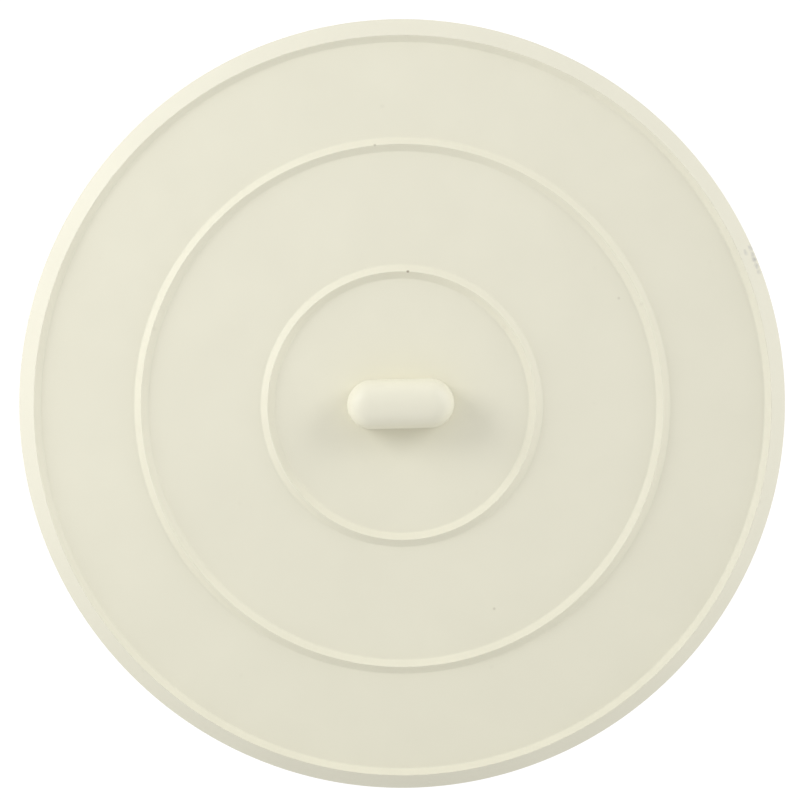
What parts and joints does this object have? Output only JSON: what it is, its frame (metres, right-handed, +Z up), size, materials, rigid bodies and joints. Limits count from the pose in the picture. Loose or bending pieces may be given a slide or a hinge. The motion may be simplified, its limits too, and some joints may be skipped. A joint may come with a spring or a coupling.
{
  "type": "drain stopper",
  "caption": "Flat round rubber drain stopper with a bevelled rim, concentric ribs and a central bar-shaped pull that turns in its hub.",
  "frame": {"origin": "middle of the sealing plane underneath, on the disc's axis", "axes": "+Z up, out of the drain along the disc's axis; +X along the pull's bar at rest"},
  "size_m": [0.127, 0.127, 0.0114],
  "materials": {
    "disc_rubber": "matte cream, slightly mottled",
    "pull_plastic": "smooth matte cream",
    "washer_plastic": "milky natural, satin"
  },
  "bodies": {
    "disc": {"stopper_disc": "disc_rubber"},
    "pull": {"pull_handle": "pull_plastic", "retaining_washer": "washer_plastic"}
  },
  "joints": [
    {"name": "pull_swivel", "type": "hinge", "parent": "disc", "child": "pull", "pos_m": [0, 0, 0.0034], "axis": [0, 0, 1], "continuous": true}
  ]
}
